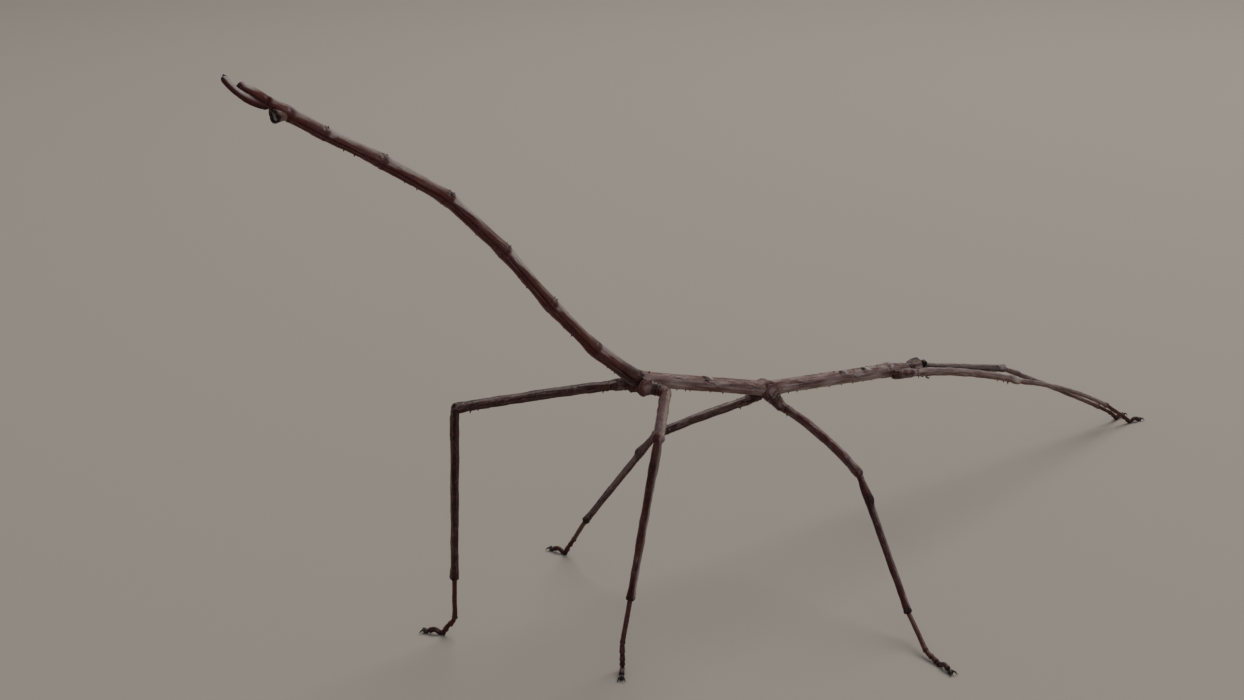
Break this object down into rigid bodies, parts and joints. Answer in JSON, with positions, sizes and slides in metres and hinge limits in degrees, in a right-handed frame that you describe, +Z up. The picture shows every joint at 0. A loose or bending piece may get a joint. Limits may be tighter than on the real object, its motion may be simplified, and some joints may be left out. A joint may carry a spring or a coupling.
{
  "type": "stick insect",
  "caption": "Slender wingless male stick insect standing on thin legs, with its long twig-like abdomen raised and its fore legs stretched forward past the head.",
  "frame": {"origin": "on the floor, under the middle of the outline", "axes": "+X towards the head along the body, +Y to the animal's left, +Z up from the floor it stands on"},
  "size_m": [0.1308, 0.0478, 0.0586],
  "materials": {
    "cuticle": "rough and bark-like",
    "antenna": "satin",
    "claw": "glossy, horn-like",
    "eye": "glossy"
  },
  "bodies": {
    "root": {"abdomen_10": "cuticle", "abdomen_2": "cuticle", "abdomen_3": "cuticle", "abdomen_4": "cuticle", "abdomen_5": "cuticle", "abdomen_6": "cuticle", "abdomen_7": "cuticle", "abdomen_8": "cuticle", "abdomen_9": "cuticle", "antenna_left": "antenna", "antenna_right": "antenna", "cercus_left": "cuticle", "cercus_right": "cuticle", "eye_left": "eye", "eye_right": "eye", "head": "cuticle", "leg_fore_left_claws": "claw", "leg_fore_left_coxa": "cuticle", "leg_fore_left_femur": "cuticle", "leg_fore_left_tarsus": "cuticle", "leg_fore_left_tibia": "cuticle", "leg_fore_right_claws": "claw", "leg_fore_right_coxa": "cuticle", "leg_fore_right_femur": "cuticle", "leg_fore_right_tarsus": "cuticle", "leg_fore_right_tibia": "cuticle", "leg_hind_left_claws": "claw", "leg_hind_left_coxa": "cuticle", "leg_hind_left_femur": "cuticle", "leg_hind_left_tarsus": "cuticle", "leg_hind_left_tibia": "cuticle", "leg_hind_right_claws": "claw", "leg_hind_right_coxa": "cuticle", "leg_hind_right_femur": "cuticle", "leg_hind_right_tarsus": "cuticle", "leg_hind_right_tibia": "cuticle", "leg_mid_left_claws": "claw", "leg_mid_left_coxa": "cuticle", "leg_mid_left_femur": "cuticle", "leg_mid_left_tarsus": "cuticle", "leg_mid_left_tibia": "cuticle", "leg_mid_right_claws": "claw", "leg_mid_right_coxa": "cuticle", "leg_mid_right_femur": "cuticle", "leg_mid_right_tarsus": "cuticle", "leg_mid_right_tibia": "cuticle", "mesothorax": "cuticle", "metathorax": "cuticle", "poculum": "cuticle", "prothorax": "cuticle"}
  },
  "joints": []
}
